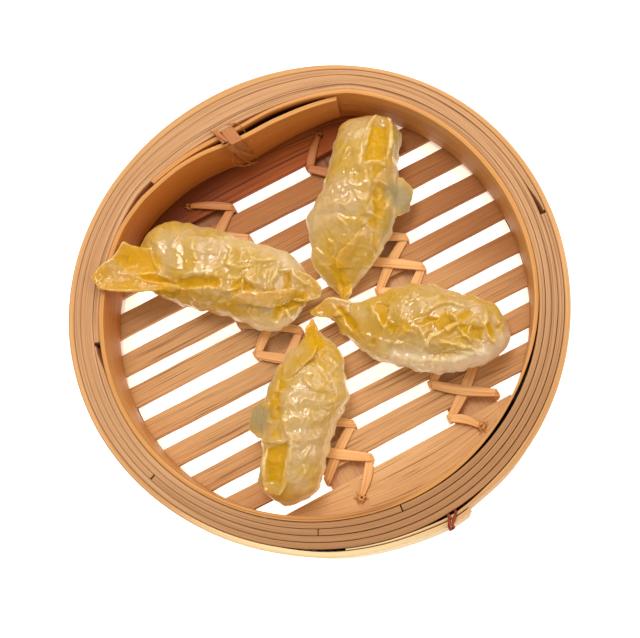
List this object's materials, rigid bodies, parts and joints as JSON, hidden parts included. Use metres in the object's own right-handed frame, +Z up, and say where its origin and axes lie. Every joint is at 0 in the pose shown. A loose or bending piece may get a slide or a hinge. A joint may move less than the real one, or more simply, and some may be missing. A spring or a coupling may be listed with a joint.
{
  "type": "bamboo steamer basket with chicken dumplings",
  "caption": "Round bamboo steamer basket with a layered bent-strip wall and a laced slat floor, holding pleated crescent dumplings with glossy translucent skins.",
  "frame": {"origin": "centre of the whole object's box on the surface it stands on, nearly under the basket's middle", "axes": "+Z up out of the basket; X along the floor slats; Y across them, towards the side with the lapped inner hoop"},
  "size_m": [0.2038, 0.2052, 0.0557],
  "materials": {
    "bamboo": "bare bamboo strip, fine grain along its length, worn satin",
    "bamboo_pale": "pale smooth outer skin of bamboo, satin",
    "bamboo_dark": "reddish-brown damp bamboo, fine dark grain",
    "rattan": "flat split rattan with a smooth satin face",
    "thread": "thin waxed thread, dark red-brown",
    "dough": "steamed wheat dough, wet gloss, slightly translucent at thin edges"
  },
  "bodies": {
    "root": {"inner_hoop": "bamboo", "ledge_hoop": "bamboo", "wrap_1a": "bamboo", "wrap_1b": "bamboo", "wrap_2": "bamboo", "wrap_3": "bamboo", "wrap_4": "bamboo", "outer_band": "bamboo_pale", "hoop_tie": "rattan", "band_tie": "thread", "slat_1": "bamboo_dark", "slat_2": "bamboo_dark", "slat_3": "bamboo", "slat_4": "bamboo", "slat_5": "bamboo", "slat_6": "bamboo", "slat_7": "bamboo", "slat_8": "bamboo", "board_far": "bamboo_dark", "board_near": "bamboo", "cross_bar_1": "bamboo_dark", "cross_bar_2": "bamboo_dark", "lace_left_over": "rattan", "lace_left_under": "rattan", "lace_right_over": "rattan", "lace_right_under": "rattan", "dumpling_left": "dough", "dumpling_far": "dough", "dumpling_right": "dough", "dumpling_near": "dough"}
  },
  "joints": []
}
